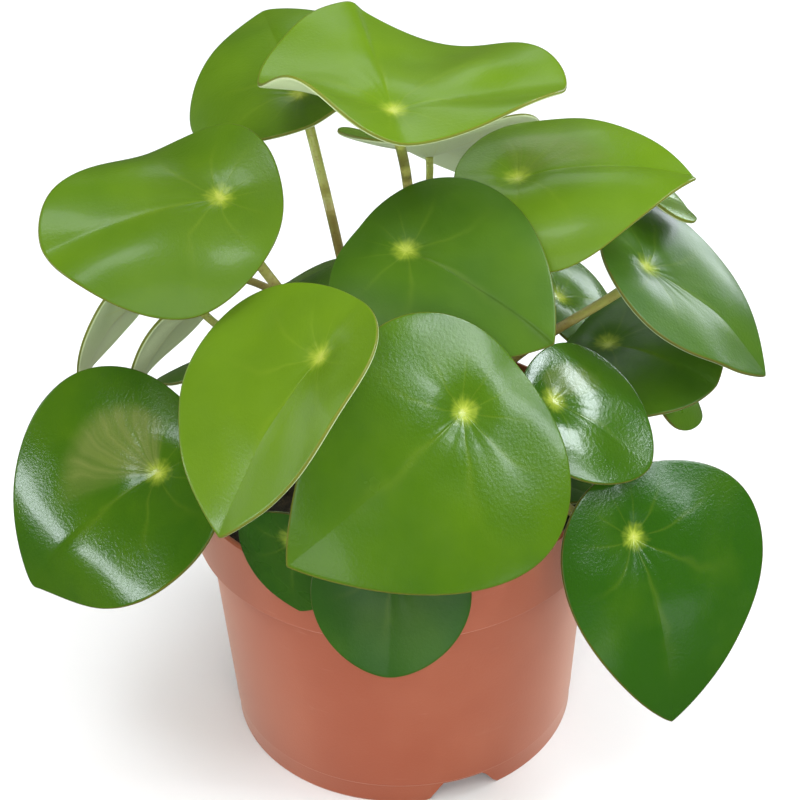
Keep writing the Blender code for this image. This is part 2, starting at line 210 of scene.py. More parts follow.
LEAVES = (
    # Top and back, on long stalks
    Leaf("top", "back", (2, 0, 198), 70, 84, 100, 5, 5,
         droop=(0, 5), wings=(10, -15), skew=-0.2, point=0.4,
         lifts=((15, 3), (-45, -11), (-118, -14), (-150, 13), (180, -12), (145, 14), (85, -3)),
         sway=(8, 15, -6), age=0.05, gloss=0.3),
    Leaf("back_left_high", "back", (-24, 32, 188), 68, 64, 105, 8, -20,
         droop=(15, 0), wings=(25, 25), lifts=((-70, -5),), sway=(-1, -2, -12), age=0.35, gloss=0.25),
    Leaf("back_high", "back", (12, 61, 154), 40, 68, 55, -20, -15,
         droop=(50, -40), wings=(-15, -5), lifts=((-130, 5),), age=0.3, stalk=0.75),
    # Left side
    Leaf("left_high", "left", (-44, -8, 178), 64, 60, 195, -5, -20,
         droop=(20, 10), wings=(40, 45), point=0.3,
         lifts=((80, -6), (-35, 5), (-90, -3), (-150, 6)), sway=(10, -15, 0),
         age=0.38, gloss=0.35),
    Leaf("left_low", "left", (-65, -30, 106), 71, 71, 200, -25, -25,
         droop=(50, 10), wings=(15, 10), skew=-0.13, point=0.6, lifts=((45, -6), (130, 3)),
         age=0.8, gloss=0.95, blush=0.7, blush_place=-75),
    Leaf("left_outer", "back", (-76, 28, 126), 38, 42, 215, -40, 50,
         droop=(15, 15), wings=(5, 25), sway=(-10, 5, 20), age=0.35, stalk=0.8),
    Leaf("left_inner", "left", (-56, 13, 133), 44, 36, 200, -40, 40,
         droop=(25, 5), wings=(10, 35), age=0.3, stalk=0.8),
    # Front
    Leaf("front_left", "left", (-19, -52, 156), 70, 57, 220, -40, 5,
         droop=(20, 10), wings=(30, 0), skew=-0.2, point=0.65, lifts=((105, 6), (-65, 4)),
         arrive=0.06, sway=(-15, 0, 0), age=0.16, gloss=0.3),
    Leaf("front", "middle", (18, -51, 137), 82, 74, 225, -15, -50,
         droop=(30, 5), wings=(15, 20), skew=0.15, age=0.65, gloss=0.7),
    Leaf("front_small", "middle", (-2, -69, 103), 40, 42, 262, -58, 0,
         droop=(5, 5), wings=(20, 15), point=0.2, rise=0.5, arrive=0.06,
         age=0.95, gloss=0.1, blush=0.3, blush_place=180, stalk=0.9),
    Leaf("front_left_small", "middle", (-28, -58, 102), 32, 36, 250, -85, 10,
         droop=(15, 10), wings=(25, 25), rise=0.5, arrive=0.06, age=1, stalk=0.8),
    # Middle
    Leaf("centre", "middle", (4, -9, 161), 64, 62, -35, -10, 20,
         droop=(30, 15), wings=(25, 30), lifts=((-45, -4),), age=0.7, gloss=0.15),
    Leaf("young_left", "left", (-22, 8, 137), 34, 30, 165, -30, -5, age=0.6, stalk=0.8),
    Leaf("young_right", "right", (38, -20, 94), 26, 22, -25, -5, 0,
         droop=(15, 10), age=0.9, stalk=0.7),
    # Right side
    Leaf("right_high", "right", (35, 19, 167), 66, 62, -5, 10, 10,
         droop=(30, 15), wings=(35, 55), skew=-0.1, lifts=((-45, 3), (-165, 4)),
         age=0.15, gloss=0.35, blush=0.35, blush_place=60),
    Leaf("right", "right", (72, 14, 140), 66, 62, -10, -35, 5,
         droop=(25, 5), wings=(20, 10), skew=0.12, age=0.76, gloss=0.3),
    Leaf("right_low", "right", (62, 24, 109), 48, 62, -35, 5, 10,
         droop=(20, 20), wings=(25, 20), point=0.4, lifts=((-120, 3), (-30, -4)),
         rise=0.25, arrive=0.35, age=0.75, gloss=0.1),
    Leaf("right_round", "right", (43, -26, 123), 44, 43, -10, -35, 20,
         droop=(5, 10), wings=(25, 20), skew=0.1, point=0.3,
         age=0.84, gloss=1, blush=0.4, blush_place=100, stalk=0.9),
    Leaf("front_right", "right", (64, -42, 88), 74, 67, -60, -55, -5,
         droop=(30, 5), wings=(5, 20), skew=0.2,
         rise=0.75, arrive=0.06, sway=(-5, -10, 0), age=1, gloss=0.8),
    Leaf("right_upper", "right", (75, 34, 153), 26, 28, 35, -30, 15,
         droop=(25, 5), wings=(25, 15), rise=0.5, arrive=0.03, sway=(0, 5, 10), age=0.2, stalk=0.7),
    Leaf("right_back", "right", (80, 30, 92), 40, 34, 40, -30, 40,
         droop=(45, 5), wings=(15, 35), rise=0.3, arrive=0.12, sway=(0, 0, 2), age=0.6, stalk=0.8),
    # Back, low
    Leaf("back_right", "right", (51, 54, 107), 52, 48, 30, -25, 20,
         droop=(40, 15), wings=(20, 30), age=0.65, stalk=0.9),
    Leaf("back_left", "back", (-21, 42, 119), 44, 40, 115, -15, -15,
         droop=(25, 5), wings=(15, 30), age=0.35, stalk=0.85),
    Leaf("back_left_low", "back", (-48, 46, 96), 50, 46, 135, -25, 0,
         droop=(35, 10), rise=0.6, arrive=0.1, age=0.65, stalk=0.9),
    Leaf("back_low", "back", (10, 52, 98), 52, 52, 90, -20, 5,
         droop=(35, 10), age=0.6, stalk=0.9),
)

LIGHTS = (
    # Seen as highlights on the leaves
    SoftLight("left window", -80, 10, 300, 160, 2.2),
    SoftLight("left back", -118, 14, 450, 450, 0.9),
    SoftLight("right window", 74, 33, 120, 340, 2.0),
    SoftLight("low right", 50, 1, 350, 160, 0.25),
    SoftLight("right back", 101, 41, 320, 220, 5),
    SoftLight("upper left", -45, 64, 250, 250, 1.8),
    SoftLight("back wall", 179, 42, 350, 350, 0.8),
    SoftLight("low back", 141, 4, 300, 300, 1.6),
    SoftLight("front wall", -3, 25, 500, 500, 1.4),
    # Broad light that nothing mirrors
    SoftLight("ceiling", 0, 80, 1200, 1200, 9, WARM_WHITE, glossy=False),
    SoftLight("front", 5, 20, 800, 800, 4, WARM_WHITE, glossy=False),
)


# Working with meshes

def mm(x, y, z):
    """A place given in millimetres."""
    return Vector((x, y, z)) * MM


def new_verts(result):
    """The vertices among what an operator made."""
    return [item for item in result["geom"] if isinstance(item, bmesh.types.BMVert)]


def place_piece(bm, name, replaced, material):
    """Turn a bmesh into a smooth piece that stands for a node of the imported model."""
    mesh = bpy.data.meshes.new(name)
    bm.to_mesh(mesh)
    bm.free()
    mesh.shade_smooth()
    mesh.materials.append(material)
    piece = bpy.data.objects.new(name, mesh)
    bpy.context.scene.collection.objects.link(piece)
    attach(piece, "root")
    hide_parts(replaced)
    return piece


def add_smoothing(piece):
    """One level of subdivision, the same on screen as in the picture."""
    smooth = piece.modifiers.new("Smooth", "SUBSURF")
    smooth.levels = 1
    smooth.render_levels = 1


def wheel(bm, spokes, reaches):
    """A flat disc of quads round a fan, with its rings at the given shares of radius 1."""
    turn = Matrix.Rotation(-math.pi / 2, 4, "Z")
    bmesh.ops.create_circle(bm, cap_ends=True, cap_tris=True, segments=spokes,
                            radius=reaches[0], matrix=turn)
    for inner, outer in zip(reaches, reaches[1:]):
        border = [edge for edge in bm.edges if edge.is_boundary]
        grown = bmesh.ops.extrude_edge_only(bm, edges=border)
        bmesh.ops.scale(bm, verts=new_verts(grown), vec=Vector((1, 1, 1)) * outer / inner)
    downward = [face for face in bm.faces if face.normal.z < 0]
    bmesh.ops.reverse_faces(bm, faces=downward)


def route_frames(route, radii):
    """A matrix for every point of a route: its cross-section's sides, direction, size and place."""
    frames = []
    side = Vector((1, 0, 0))
    for i, point in enumerate(route):
        before = route[max(i - 1, 0)]
        after = route[min(i + 1, len(route) - 1)]
        ahead = (after - before).normalized()
        side = (side - ahead * side.dot(ahead)).normalized()
        other = ahead.cross(side)
        turn = Matrix((side, other, ahead)).transposed().to_4x4()
        frames.append(Matrix.Translation(point) @ turn @ Matrix.Scale(radii[i], 4))
    return frames


def sweep(bm, route, radii, sides, layer):
    """A closed tube along a route. The layer takes each ring's share of the way, 0 to 1."""
    frames = route_frames(route, radii)
    ring = bmesh.ops.create_circle(bm, cap_ends=True, segments=sides, radius=1, matrix=frames[0])
    face = ring["verts"][0].link_faces[0]
    for i in range(1, len(frames)):
        grown = bmesh.ops.extrude_face_region(bm, geom=[face])
        verts = new_verts(grown)
        bmesh.ops.transform(bm, verts=verts, matrix=frames[i] @ frames[i - 1].inverted())
        for vert in verts:
            vert[layer] = i / (len(frames) - 1)
        face = next(item for item in grown["geom"] if isinstance(item, bmesh.types.BMFace))


# Working with materials

def add_node(tree, kind, inputs=None, **settings):
    """A node with its settings made, and each input set to a value or linked to a socket."""
    made = tree.nodes.new(kind)
    for name, value in settings.items():
        setattr(made, name, value)
    for key, value in (inputs or {}).items():
        if isinstance(value, bpy.types.NodeSocket):
            tree.links.new(value, made.inputs[key])
        else:
            made.inputs[key].default_value = value
    return made


def calculate(tree, operation, *values):
    """The result of a sum on values or sockets."""
    node = add_node(tree, "ShaderNodeMath", dict(enumerate(values)), operation=operation)
    return node.outputs[0]


def multiply(tree, first, *factors):
    """The product of values or sockets."""
    product = first
    for factor in factors:
        product = calculate(tree, "MULTIPLY", product, factor)
    return product


def span(tree, share, low, high):
    """A value that is `low` where the share is 0 and `high` where it is 1."""
    return calculate(tree, "MULTIPLY_ADD", share, high - low, low)


def fade(tree, value, start, end):
    """A mask that goes smoothly from 0 at `start` to 1 at `end`."""
    inputs = {"Value": value, "From Min": start, "From Max": end}
    node = add_node(tree, "ShaderNodeMapRange", inputs, interpolation_type="SMOOTHSTEP")
    return node.outputs["Result"]


def fade_out(tree, value, start, end):
    """A mask that goes smoothly from 1 at `start` to 0 at `end`."""
    return calculate(tree, "SUBTRACT", 1.0, fade(tree, value, start, end))


def blend(tree, mask, first, second):
    """The first colour where the mask is 0 and the second where it is 1."""
    inputs = {0: mask, 6: first, 7: second}
    node = add_node(tree, "ShaderNodeMix", inputs, data_type="RGBA")
    return node.outputs[2]


def add_noise(tree, place, scale, detail=2.0, roughness=0.5):
    """Noise with the given number of features in one unit of the place."""
    inputs = {"Vector": place, "Scale": scale, "Detail": detail, "Roughness": roughness}
    return add_node(tree, "ShaderNodeTexNoise", inputs).outputs["Fac"]


def surface_noise(tree, place, per_mm, detail=2.0, roughness=0.5):
    """Noise with the given number of features in a millimetre of the object."""
    return add_noise(tree, place, per_mm / MM, detail, roughness)


def ray_noise(tree, angle, per_radian):
    """Noise that depends on an angle alone, for streaks that run out from a spot."""
    place = add_node(tree, "ShaderNodeCombineXYZ", {"X": angle}).outputs[0]
    return add_noise(tree, place, per_radian)


def object_place(tree):
    """The place on the object, in metres."""
    return add_node(tree, "ShaderNodeTexCoord").outputs["Object"]


def read_attribute(tree, name):
    """A value that the mesh keeps at its vertices."""
    return add_node(tree, "ShaderNodeAttribute", attribute_name=name).outputs["Fac"]


def new_group(name, inputs, outputs):
    """A node group with named sockets, and its two end nodes."""
    group = bpy.data.node_groups.new(name, "ShaderNodeTree")
    for label, (kind, value) in inputs.items():
        socket = group.interface.new_socket(label, in_out="INPUT", socket_type=kind)
        socket.default_value = value
    for label, kind in outputs.items():
        group.interface.new_socket(label, in_out="OUTPUT", socket_type=kind)
    start = group.nodes.new("NodeGroupInput")
    end = group.nodes.new("NodeGroupOutput")
    return group, start, end


def new_material(name):
    """An empty material with its shader."""
    material = bpy.data.materials.new(name)
    material.use_nodes = True
    return material, material.node_tree, material.node_tree.nodes["Principled BSDF"]


def set_values(shader, values):
    """Set what is the same all over the surface on the shader itself."""
    for name, value in values.items():
        shader.inputs[name].default_value = value


def link_values(tree, node, sockets):
    """Link what changes over the surface to a node's inputs."""
    for name, socket in sockets.items():
        tree.links.new(socket, node.inputs[name])


def add_bump(tree, shader, height, depth):
    """Give the shader a relief of the given depth in millimetres."""
    bump = add_node(tree, "ShaderNodeBump", {"Height": height, "Distance": depth * MM})
    tree.links.new(bump.outputs["Normal"], shader.inputs["Normal"])


# What a leaf looks like

FLOAT = "NodeSocketFloat"
COLOUR = "NodeSocketColor"

FRESH_UPPER = (0.114, 0.212, 0.004, 1)
DEEP_UPPER = (0.018, 0.074, 0.002, 1)
FRESH_UNDERSIDE = (0.60, 0.70, 0.40, 1)
DEEP_UNDERSIDE = (0.38, 0.49, 0.29, 1)
SPOT_COLOUR = (0.34, 0.42, 0.035, 1)
SPOT_CORE_COLOUR = (0.52, 0.54, 0.12, 1)
BLUSH_COLOUR = (0.17, 0.20, 0.05, 1)
MARGIN_COLOUR = (0.22, 0.11, 0.03, 1)

AGE_UNEVENNESS = 0.25         # how much younger or older patches of a blade look
VEIN_COUNT = 9
VEIN_CURVE = 0.5              # how much the veins bend towards the tip
VEIN_WANDER = 0.15
VEIN_SHARPNESS = 60.0
VEIN_SINKING = 0.3            # how deep the veins lie, as a share of the relief
VEIN_STRENGTH = 0.07
UNDERSIDE_VEIN_STRENGTH = 0.3
SPOT_STRENGTH = 0.85
CORE_STRENGTH = 0.5
MARGIN_STRENGTH = 0.4
UNDERSIDE_MARGIN_STRENGTH = 0.15
LEAF_ROUGHNESS = (0.34, 0.50)  # from its smoother to its rougher patches, for a dull leaf
POLISH = 0.26                 # what full gloss takes from the roughness
UNDERSIDE_DULLNESS = 0.25     # what the underside adds to it
LEAF_COAT = 0.3               # the coat of a leaf with full gloss
LEAF_COAT_ROUGHNESS = 0.12
LEAF_SPECULAR = 0.3
LEAF_RELIEF = 0.05            # depth of the fine relief on a dull leaf
GLOSS_RELIEF = 0.06           # what full gloss adds to it


@dataclass
class BladePlan:
    """Where a point lies on its blade, as sockets of the leaf group."""

    place: bpy.types.NodeSocket   # in the object's own space
    reach: bpy.types.NodeSocket   # 0 at the spot and 1 at the edge
    under: bpy.types.NodeSocket   # 0 on the upper face and 1 on the underside
    away: bpy.types.NodeSocket    # distance from the spot on the flat blade, in centimetres
    angle: bpy.types.NodeSocket   # the way it lies from the spot, from the tip leftwards


def read_plan(group):
    """A point's place on its blade, from what the mesh keeps."""
    plan = add_node(group, "ShaderNodeUVMap", uv_map="plan").outputs["UV"]
    split = add_node(group, "ShaderNodeSeparateXYZ", {0: plan}).outputs
    length = add_node(group, "ShaderNodeVectorMath", {0: plan}, operation="LENGTH")
    return BladePlan(
        place=object_place(group),
        reach=read_attribute(group, "reach"),
        under=read_attribute(group, "underside"),
        away=length.outputs["Value"],
        angle=calculate(group, "ARCTAN2", split["Y"], split["X"]),
    )


def aged_green(group, plan, age):
    """The upper face's green, with soft patches that look younger or older."""
    mottle = surface_noise(group, plan.place, per_mm=0.05, detail=3)
    shade = calculate(group, "ADD", age, span(group, mottle, -AGE_UNEVENNESS, AGE_UNEVENNESS))
    return blend(group, calculate(group, "MAXIMUM", shade, 0.0), FRESH_UPPER, DEEP_UPPER)


def draw_veins(group, plan):
    """The angle that the veins follow, bent towards the tip, and a mask of them."""
    curve = multiply(group, calculate(group, "SINE", plan.angle), plan.reach, VEIN_CURVE)
    curved = calculate(group, "SUBTRACT", plan.angle, curve)
    drift = span(group, surface_noise(group, plan.place, per_mm=0.08), -VEIN_WANDER, VEIN_WANDER)
    angle = calculate(group, "ADD", curved, drift)
    wave = calculate(group, "COSINE", multiply(group, angle, VEIN_COUNT / 2))
    lines = calculate(group, "POWER", calculate(group, "ABSOLUTE", wave), VEIN_SHARPNESS)
    return angle, multiply(group, lines, fade_out(group, plan.reach, start=0.15, end=0.9))


def blush_mask(group, plan, settings, vein_angle):
    """A soft patch beside the spot, with streaks along the veins."""
    turned = calculate(group, "SUBTRACT", plan.angle, settings["Blush place"])
    facing = fade(group, calculate(group, "COSINE", turned), start=0.45, end=0.85)
    nearby = fade_out(group, plan.reach, start=0.5, end=0.68)
    streaks = span(group, ray_noise(group, vein_angle, per_radian=9), low=-0.1, high=1.7)
    patch = multiply(group, facing, nearby, streaks, settings["Blush"])
    return calculate(group, "MINIMUM", patch, 1.0)


def spot_masks(group, plan):
    """The spot over the stalk and its bright core, with ragged outlines."""
    grain = surface_noise(group, plan.place, per_mm=0.5)
    rays = ray_noise(group, plan.angle, per_radian=4)
    ragged = span(group, calculate(group, "ADD", grain, rays), low=-0.3, high=0.0)
    away = calculate(group, "ADD", plan.away, ragged)
    spot = fade_out(group, away, start=0.0, end=0.5)
    core = fade_out(group, away, start=-0.05, end=0.22)
    return spot, core


def upper_colour(group, plan, settings, vein_angle, vein):
    """Green with paler veins, a blush and the yellow-green spot."""
    colour = aged_green(group, plan, settings["Age"])
    colour = blend(group, multiply(group, vein, VEIN_STRENGTH), colour, SPOT_COLOUR)
    colour = blend(group, blush_mask(group, plan, settings, vein_angle), colour, BLUSH_COLOUR)
    spot, core = spot_masks(group, plan)
    colour = blend(group, multiply(group, spot, SPOT_STRENGTH), colour, SPOT_COLOUR)
    return blend(group, multiply(group, core, CORE_STRENGTH), colour, SPOT_CORE_COLOUR)


def lower_colour(group, age, vein):
    """The pale underside with its veins."""
    colour = blend(group, age, FRESH_UNDERSIDE, DEEP_UNDERSIDE)
    return blend(group, multiply(group, vein, UNDERSIDE_VEIN_STRENGTH), colour, SPOT_CORE_COLOUR)


def margin_mask(group, plan):
    """The thin red-brown margin, which is weaker below."""
    edge = fade(group, plan.reach, start=0.988, end=1.0)
    strength = span(group, plan.under, MARGIN_STRENGTH, UNDERSIDE_MARGIN_STRENGTH)
    return multiply(group, edge, strength)


def leaf_roughness(group, plan, gloss):
    """Unevenly polished above, by the leaf's gloss, and duller below."""
    patchy = span(group, surface_noise(group, plan.place, per_mm=0.12), *LEAF_ROUGHNESS)
    polished = calculate(group, "MULTIPLY_ADD", gloss, -POLISH, patchy)
    return calculate(group, "MULTIPLY_ADD", plan.under, UNDERSIDE_DULLNESS, polished)


def leaf_relief(group, plan, vein):
    """Fine cells, and veins that lie a little deeper."""
    cells = surface_noise(group, plan.place, per_mm=1.1, detail=3, roughness=0.6)
    return calculate(group, "ADD", cells, multiply(group, vein, -VEIN_SINKING))


def make_leaf_group():
    """The colours and relief of a leaf: veins, spot, blush, margin and pale underside."""
    group, start, end = new_group(
        "leaf tissue",
        {"Age": (FLOAT, 0.5), "Blush": (FLOAT, 0.0), "Blush place": (FLOAT, 0.0),
         "Gloss": (FLOAT, 0.5)},
        {"Colour": COLOUR, "Roughness": FLOAT, "Height": FLOAT},
    )
    settings = start.outputs
    plan = read_plan(group)
    vein_angle, vein = draw_veins(group, plan)
    upper = upper_colour(group, plan, settings, vein_angle, vein)
    lower = lower_colour(group, settings["Age"], vein)
    colour = blend(group, fade(group, plan.under, start=0.6, end=1.0), upper, lower)
    results = {
        "Colour": blend(group, margin_mask(group, plan), colour, MARGIN_COLOUR),
        "Roughness": leaf_roughness(group, plan, settings["Gloss"]),
        "Height": leaf_relief(group, plan, vein),
    }
    link_values(group, end, results)
    return group


def leaf_material(leaf, tissue):
    """Fleshy, glossy leaf of the leaf's own age, gloss and blush."""
    material, tree, shader = new_material(f"leaf {leaf.name}")
    values = {
        "Age": leaf.age,
        "Blush": leaf.blush,
        "Blush place": math.radians(leaf.blush_place),
        "Gloss": leaf.gloss,
    }
    surface = add_node(tree, "ShaderNodeGroup", values, node_tree=tissue).outputs
    link_values(tree, shader, {"Base Color": surface["Colour"], "Roughness": surface["Roughness"]})
    set_values(shader, {
        "Coat Weight": LEAF_COAT * leaf.gloss,
        "Coat Roughness": LEAF_COAT_ROUGHNESS,
        "Specular IOR Level": LEAF_SPECULAR,
    })
    add_bump(tree, shader, surface["Height"], LEAF_RELIEF + GLOSS_RELIEF * leaf.gloss)
    return material


# What the stalks look like

STALK_LOW = (0.19, 0.075, 0.035, 1)
STALK_MIDDLE = (0.31, 0.25, 0.07, 1)
STALK_HIGH = (0.38, 0.42, 0.09, 1)
STALK_UNEVENNESS = 0.25       # how far the colours reach up and down the stalk
SPECK_STRENGTH = 0.35
STALK_ROUGHNESS = (0.36, 0.51)
STALK_COAT = 0.2
STALK_COAT_ROUGHNESS = 0.2
STALK_RELIEF = 0.1


def stalk_material():
    """Stalks that go from red-brown at the stem to yellow-green at the blade."""
    material, tree, shader = new_material("stalks")
    place = object_place(tree)
    patches = surface_noise(tree, place, per_mm=0.15, detail=3)
    uneven = span(tree, patches, -STALK_UNEVENNESS, STALK_UNEVENNESS)
    along = calculate(tree, "ADD", read_attribute(tree, "along"), uneven)
    colour = blend(tree, fade(tree, along, start=0.05, end=0.5), STALK_LOW, STALK_MIDDLE)
    colour = blend(tree, fade(tree, along, start=0.55, end=1.0), colour, STALK_HIGH)
    specks = fade(tree, surface_noise(tree, place, per_mm=1.4), start=0.55, end=0.7)
    colour = blend(tree, multiply(tree, specks, SPECK_STRENGTH), colour, STALK_LOW)
    rough = span(tree, specks, *STALK_ROUGHNESS)
    link_values(tree, shader, {"Base Color": colour, "Roughness": rough})
    set_values(shader, {"Coat Weight": STALK_COAT, "Coat Roughness": STALK_COAT_ROUGHNESS})
    add_bump(tree, shader, surface_noise(tree, place, per_mm=0.8, detail=3), STALK_RELIEF)
    return material


# What the pot looks like

POT_COLOUR = (0.31, 0.054, 0.013, 1)
POT_PALE = (0.36, 0.082, 0.030, 1)
POT_SCUFF = (0.44, 0.17, 0.10, 1)
PALE_PINK = (1.0, 0.74, 0.62, 1)
SCUFF_STRETCH = (1, 1, 8)     # scuffs are long round the pot and thin in height
SCUFF_STRENGTH = 0.3
POT_ROUGHNESS = (0.42, 0.54)
POT_SHEEN = 0.6
POT_SHEEN_ROUGHNESS = 0.5
POT_RELIEF = 0.03


def pot_material():
    """Satin terracotta-coloured plastic, a little uneven, with a few pale scuffs."""
    material, tree, shader = new_material("terracotta plastic")
    place = object_place(tree)
    cloud = surface_noise(tree, place, per_mm=0.02, detail=3)
    colour = blend(tree, fade(tree, cloud, start=0.35, end=0.75), POT_COLOUR, POT_PALE)
    stretched = add_node(tree, "ShaderNodeMapping", {"Vector": place, "Scale": SCUFF_STRETCH})
    streaks = surface_noise(tree, stretched.outputs[0], per_mm=0.06, detail=4, roughness=0.65)
    scuff = fade(tree, streaks, start=0.62, end=0.74)
    colour = blend(tree, multiply(tree, scuff, SCUFF_STRENGTH), colour, POT_SCUFF)
    rough = span(tree, scuff, *POT_ROUGHNESS)
    link_values(tree, shader, {"Base Color": colour, "Roughness": rough})
    set_values(shader, {
        "Sheen Weight": POT_SHEEN,
        "Sheen Roughness": POT_SHEEN_ROUGHNESS,
        "Sheen Tint": PALE_PINK,
    })
    add_bump(tree, shader, surface_noise(tree, place, per_mm=1.5), POT_RELIEF)
    return material


# What the soil looks like

SOIL_DARK = (0.018, 0.011, 0.007, 1)
SOIL_LIGHT = (0.075, 0.047, 0.028, 1)
SOIL_ROUGHNESS = (0.65, 0.95)
SOIL_RELIEF = 0.8


def soil_material():
    """Dark, damp potting soil with lighter fibres."""
    material, tree, shader = new_material("potting soil")
    crumbs = surface_noise(tree, object_place(tree), per_mm=0.5, detail=5, roughness=0.7)
    colour = blend(tree, fade(tree, crumbs, start=0.42, end=0.72), SOIL_DARK, SOIL_LIGHT)
    rough = span(tree, crumbs, *SOIL_ROUGHNESS)
    link_values(tree, shader, {"Base Color": colour, "Roughness": rough})
    add_bump(tree, shader, crumbs, SOIL_RELIEF)
    return material


# Pot

def body_radius(height):
    """Outer radius of the tapering body below the collar."""
    share = (height - FOOT_HEIGHT) / (POT_HEIGHT - COLLAR_HEIGHT - FOOT_HEIGHT)
    return BODY_FOOT_RADIUS + share * (COLLAR_LOWER_RADIUS - COLLAR_OVERHANG - BODY_FOOT_RADIUS)


def pot_section():
    """The wall's section, from its foot inside the pot over the lip to its foot below."""
    step = POT_HEIGHT - COLLAR_HEIGHT
    floor = FOOT_HEIGHT + FLOOR_THICKNESS
    return [
        (body_radius(floor) - WALL - FLOOR_FILLET, floor),
        (body_radius(floor) - WALL, floor + FLOOR_FILLET),
        (body_radius(step) - WALL, step - WALL),
        (COLLAR_LOWER_RADIUS - WALL, step + WALL),
        (RIM_RADIUS - WALL, POT_HEIGHT),
        (RIM_RADIUS - LIP_ROUNDING, POT_HEIGHT),
        (RIM_RADIUS, POT_HEIGHT - LIP_ROUNDING),
        (COLLAR_LOWER_RADIUS, step),
        (COLLAR_LOWER_RADIUS - LIP_ROUNDING, step - LIP_ROUNDING),
        (body_radius(step), step - LIP_ROUNDING),
        (BODY_FOOT_RADIUS, FOOT_HEIGHT + GROOVE),
        (BODY_FOOT_RADIUS - GROOVE, FOOT_HEIGHT),
        (FOOT_RADIUS, FOOT_HEIGHT - GROOVE),
        (FOOT_RADIUS, LIP_ROUNDING),
        (FOOT_RADIUS - LIP_ROUNDING / 2, 0),
        (FOOT_RADIUS - FOOT_THICKNESS, 0),
        (FOOT_RADIUS - FOOT_THICKNESS, FOOT_HEIGHT),
    ]


def spin_section(bm, section, steps):
    """Turn a section of (radius, height) pairs about the pot's axis."""
    verts = [bm.verts.new(mm(radius, 0, height)) for radius, height in section]
    edges = [bm.edges.new(pair) for pair in zip(verts, verts[1:])]
    bmesh.ops.spin(bm, geom=verts + edges, cent=(0, 0, 0), axis=(0, 0, 1), angle=math.tau,
                   steps=steps, use_merge=True)


def notch_depth(azimuth):
    """How high the foot is cut away at an azimuth."""
    spacing = math.tau / NOTCH_COUNT
    away = math.remainder(azimuth - math.radians(NOTCH_AZIMUTH), spacing)
    slant = NOTCH_HEIGHT / (NOTCH_WIDTH_LOW - NOTCH_WIDTH_HIGH) * 2
    depth = (NOTCH_WIDTH_LOW / 2 - abs(away) * FOOT_RADIUS) * slant
    return min(max(depth, 0), NOTCH_HEIGHT)


def cut_notches(bm):
    """Draw the foot ring up where it has a notch."""
    foot = [vert for vert in bm.verts if vert.co.z < (FOOT_HEIGHT - GROOVE - HAIR) * MM]
    for vert in foot:
        depth = notch_depth(math.atan2(vert.co.y, vert.co.x))
        vert.co.z = depth * MM + vert.co.z * (1 - depth / FOOT_HEIGHT)


def drain_circles(bm, level):
    """The outlines of the drainage holes at one level, each as a list of edges."""
    circles = []
    for i in range(DRAIN_COUNT):
        azimuth = math.tau * i / DRAIN_COUNT
        place = mm(math.cos(azimuth), math.sin(azimuth), 0) * DRAIN_RING_RADIUS
        place.z = level * MM
        made = bmesh.ops.create_circle(bm, segments=DRAIN_SIDES, radius=DRAIN_RADIUS * MM,
                                       matrix=Matrix.Translation(place))
        circles.append(list({edge for vert in made["verts"] for edge in vert.link_edges}))
    return circles


def close_floor(bm):
    """Fill the floor between the two ends of the wall, with its drainage holes."""
    rims = [edge for edge in bm.edges if edge.is_boundary]
    levels = []
    for level in (FOOT_HEIGHT, FOOT_HEIGHT + FLOOR_THICKNESS):
        edges = [edge for edge in rims if abs(edge.verts[0].co.z - level * MM) < HAIR * MM]
        circles = drain_circles(bm, level)
        for circle in circles:
            edges += circle
        bmesh.ops.triangle_fill(bm, edges=edges, use_beauty=True)
        levels.append(circles)
    for lower, upper in zip(*levels):
        bmesh.ops.bridge_loops(bm, edges=lower + upper)


def build_pot():
    """The thin moulded pot, with its collar, foot notches and drainage holes."""
    bm = bmesh.new()
    spin_section(bm, pot_section(), POT_STEPS)
    cut_notches(bm)
    close_floor(bm)
    bmesh.ops.recalc_face_normals(bm, faces=bm.faces)
    pot = place_piece(bm, "pot_shell", "pot", pot_material())
    soften = pot.modifiers.new("Soften", "BEVEL")
    soften.limit_method = "ANGLE"
    soften.angle_limit = math.radians(SOFTENED_ANGLE)
    soften.width = EDGE_SOFTNESS * MM
    soften.segments = EDGE_SEGMENTS
    pot.data.set_sharp_from_angle(angle=math.radians(SHARP_ANGLE))


# Soil

def soil_radius():
    """The soil's radius at its surface, clear of the tapering collar's inside."""
    taper = (RIM_RADIUS - COLLAR_LOWER_RADIUS) / COLLAR_HEIGHT
    return RIM_RADIUS - taper * (POT_HEIGHT - SOIL_LEVEL) - WALL - GAP


def soil_height(x, y, radius):
    """Height of the loose surface: a low crown with lumps and crumbs."""
    crown = SOIL_LEVEL + SOIL_RISE * (1 - math.hypot(x, y) / radius)
    lumps = noise.noise(Vector((x, y, 0)) / LUMP_LENGTH) * LUMP_HEIGHT
    place = Vector((x, y, CRUMB_SLICE)) / CRUMB_LENGTH
    crumbs = noise.fractal(place, CRUMB_FADING, OCTAVE_RATIO, CRUMB_OCTAVES) * CRUMB_HEIGHT
    return crown + lumps + crumbs


def lay_surface(bm, radius):
    """The loose surface, a disc that follows the soil's height."""
    wheel(bm, SOIL_SPOKES, [ring / SOIL_RINGS for ring in range(1, SOIL_RINGS + 1)])
    for vert in bm.verts:
        x, y = vert.co.x * radius, vert.co.y * radius
        vert.co = mm(x, y, soil_height(x, y, radius))


